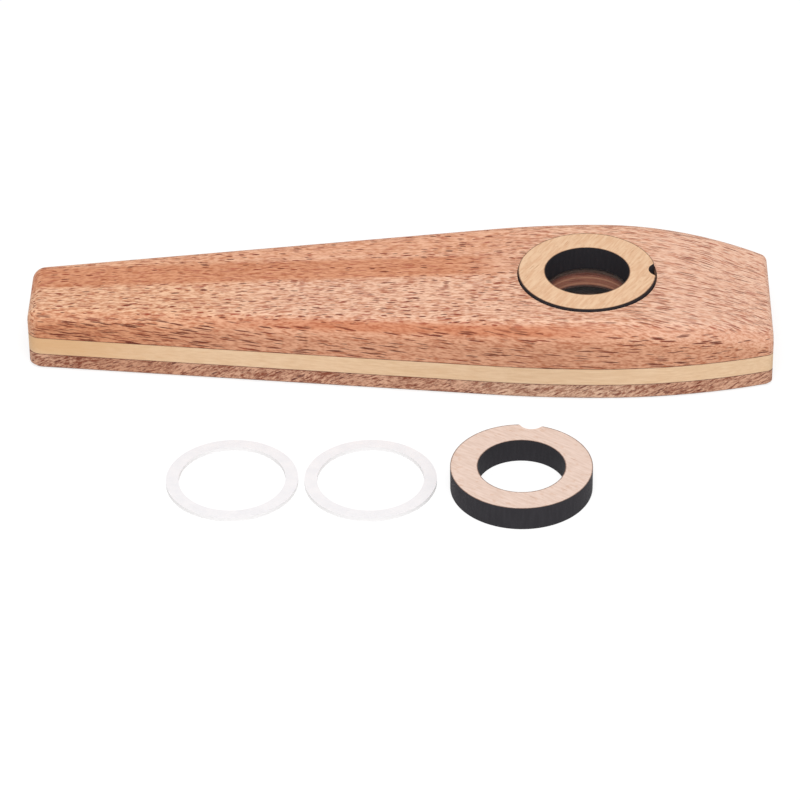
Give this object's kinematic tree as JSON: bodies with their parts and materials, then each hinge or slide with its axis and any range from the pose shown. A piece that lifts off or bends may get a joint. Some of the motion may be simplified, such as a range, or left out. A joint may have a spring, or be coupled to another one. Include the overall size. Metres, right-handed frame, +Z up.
{
  "type": "kazoo",
  "caption": "Tapered wooden kazoo of glued layers with an air channel, a film membrane held under a notched lift-out ring, and a loose spare ring and membranes.",
  "frame": {"origin": "on the underside of the bottom plate, half way along the body and on its centre line", "axes": "+X from the narrow mouth end to the wide end, +Y to the back, away from the loose spares, +Z up out of the face the kazoo rests on"},
  "size_m": [0.127, 0.072, 0.0144],
  "materials": {
    "top_wood": "oiled, open-pored, pinkish brown",
    "core_wood": "oiled, pale and close-grained",
    "bottom_wood": "oiled, open-pored, dark brown",
    "ring_wood": "raw pale faces, charred cut walls",
    "rim_plastic": "smooth white",
    "film_plastic": "clear thin film"
  },
  "bodies": {
    "kazoo": {"bottom_plate": "bottom_wood", "core_rail_front": "core_wood", "core_rail_back": "core_wood", "top_block": "top_wood"},
    "membrane": {"membrane_rim": "rim_plastic", "membrane_film": "film_plastic"},
    "ring": {"retaining_ring": "ring_wood"},
    "spare_ring_body": {"spare_ring": "ring_wood"},
    "spare_left_membrane": {"spare_left_rim": "rim_plastic", "spare_left_film": "film_plastic"},
    "spare_right_membrane": {"spare_right_rim": "rim_plastic", "spare_right_film": "film_plastic"}
  },
  "joints": [
    {"name": "membrane_lift", "type": "slide", "parent": "kazoo", "child": "membrane", "axis": [0, 0, 1], "range_m": [0, 0.012]},
    {"name": "ring_lift", "type": "slide", "parent": "membrane", "child": "ring", "axis": [0, 0, 1], "range_m": [0, 0.012]},
    {"name": "spare_ring_lift", "type": "slide", "parent": "kazoo", "child": "spare_ring_body", "axis": [0, 0, 1], "range_m": [0, 0.02]},
    {"name": "spare_left_lift", "type": "slide", "parent": "kazoo", "child": "spare_left_membrane", "axis": [0, 0, 1], "range_m": [0, 0.02]},
    {"name": "spare_right_lift", "type": "slide", "parent": "kazoo", "child": "spare_right_membrane", "axis": [0, 0, 1], "range_m": [0, 0.02]}
  ]
}
